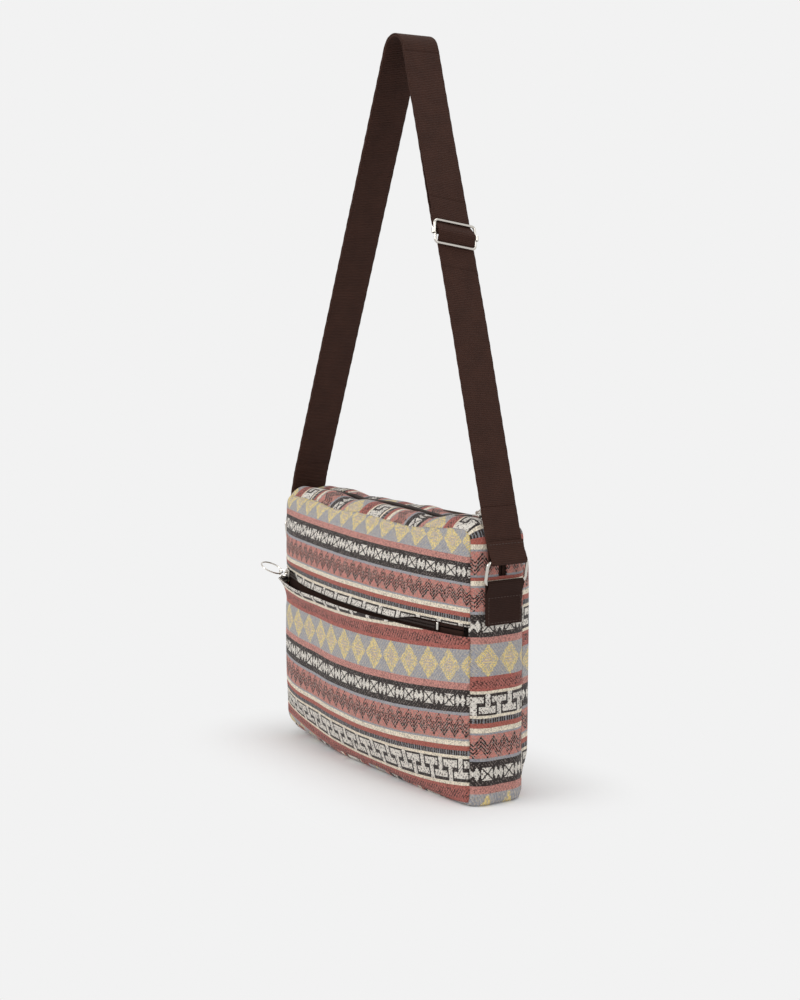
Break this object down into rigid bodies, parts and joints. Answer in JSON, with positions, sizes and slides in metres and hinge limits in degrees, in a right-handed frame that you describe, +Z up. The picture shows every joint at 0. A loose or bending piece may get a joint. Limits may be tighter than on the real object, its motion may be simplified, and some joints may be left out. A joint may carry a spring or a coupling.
{
  "type": "crossbody bag",
  "caption": "Zip-top cloth crossbody bag in banded geometric jacquard, with a front zip pocket, two sewn side rings and an adjustable webbing strap.",
  "frame": {"origin": "on the flat middle of the base, under the middle of the body", "axes": "+Z up through the strap, -Y towards the front zip pocket, +X towards the side whose strap leg carries the adjuster"},
  "size_m": [0.3514, 0.1213, 0.6802],
  "materials": {
    "jacquard_cloth": "matte woven cloth in bands of grey, cream, coral red, pink, yellow and near-black",
    "lining_cloth": "plain woven lining",
    "zip_tape": "plain woven tape",
    "strap_web": "ribbed webbing with a slight sheen",
    "zip_teeth": "moulded nylon coil",
    "nickel": "bright nickel plate"
  },
  "bodies": {
    "bag": {"front_upper_panel": "jacquard_cloth", "front_lower_panel": "jacquard_cloth", "back_panel": "jacquard_cloth", "gusset_strip": "jacquard_cloth", "top_strip_front": "jacquard_cloth", "top_strip_back": "jacquard_cloth", "front_zip_tape_upper": "zip_tape", "front_zip_tape_lower": "zip_tape", "front_zip_coil_upper": "zip_teeth", "front_zip_coil_lower": "zip_teeth", "front_zip_bottom_stop": "nickel", "front_zip_top_stop_upper": "nickel", "front_zip_top_stop_lower": "nickel", "main_zip_tape_front": "zip_tape", "main_zip_tape_back": "zip_tape", "main_zip_coil_front": "zip_teeth", "main_zip_coil_back": "zip_teeth", "main_zip_bottom_stop": "nickel", "main_zip_top_stop_front": "nickel", "main_zip_top_stop_back": "nickel", "pocket_bag": "lining_cloth", "main_lining": "lining_cloth", "tab_right": "strap_web", "tab_left": "strap_web", "strap_webbing": "strap_web"},
    "front_slider": {"front_zip_slider": "nickel"},
    "front_link": {"front_zip_link": "nickel"},
    "front_pull": {"front_zip_ring": "nickel"},
    "top_slider": {"main_zip_slider": "nickel"},
    "top_link": {"main_zip_link": "nickel"},
    "top_pull": {"main_zip_ring": "nickel"},
    "right_ring": {"ring_right": "nickel"},
    "left_ring": {"ring_left": "nickel"},
    "adjuster": {"strap_adjuster_frame": "nickel", "strap_adjuster_bar": "nickel"}
  },
  "joints": [
    {"name": "front_zip_slide", "type": "hinge", "parent": "bag", "child": "front_slider", "pos_m": [0, 0.43843, 0.1611], "axis": [0.0414, 0, 0.9991], "range_deg": [0, 30.43]},
    {"name": "front_link_swing", "type": "hinge", "parent": "front_slider", "child": "front_link", "pos_m": [-0.14301, -0.03796, 0.16702], "axis": [0.0414, 0, 0.9991], "range_deg": [-10, 60]},
    {"name": "front_pull_swing", "type": "hinge", "parent": "front_link", "child": "front_pull", "pos_m": [-0.14928, -0.04208, 0.16728], "axis": [0.0414, 0, 0.9991], "range_deg": [-6, 45]},
    {"name": "top_zip_slide", "type": "slide", "parent": "bag", "child": "top_slider", "axis": [-1, 0, 0], "range_m": [0, 0.2598]},
    {"name": "top_link_swing", "type": "hinge", "parent": "top_slider", "child": "top_link", "pos_m": [0.1299, 0, 0.2532], "axis": [0, -1, 0], "range_deg": [-6, 60]},
    {"name": "top_pull_swing", "type": "hinge", "parent": "top_link", "child": "top_pull", "pos_m": [0.13612, 0, 0.25739], "axis": [0, -1, 0], "range_deg": [-4, 30]},
    {"name": "right_ring_swing", "type": "hinge", "parent": "bag", "child": "right_ring", "pos_m": [0.1684, 0, 0.1966], "axis": [0, 1, 0], "range_deg": [-8, 35], "deforming": ["strap_webbing"]},
    {"name": "left_ring_swing", "type": "hinge", "parent": "bag", "child": "left_ring", "pos_m": [-0.1684, 0, 0.1966], "axis": [0, -1, 0], "range_deg": [-8, 35], "deforming": ["strap_webbing"]},
    {"name": "adjuster_slide", "type": "slide", "parent": "bag", "child": "adjuster", "axis": [-0.2878, 0, 0.9577], "range_m": [-0.17, 0.1], "deforming": ["strap_webbing"]}
  ]
}
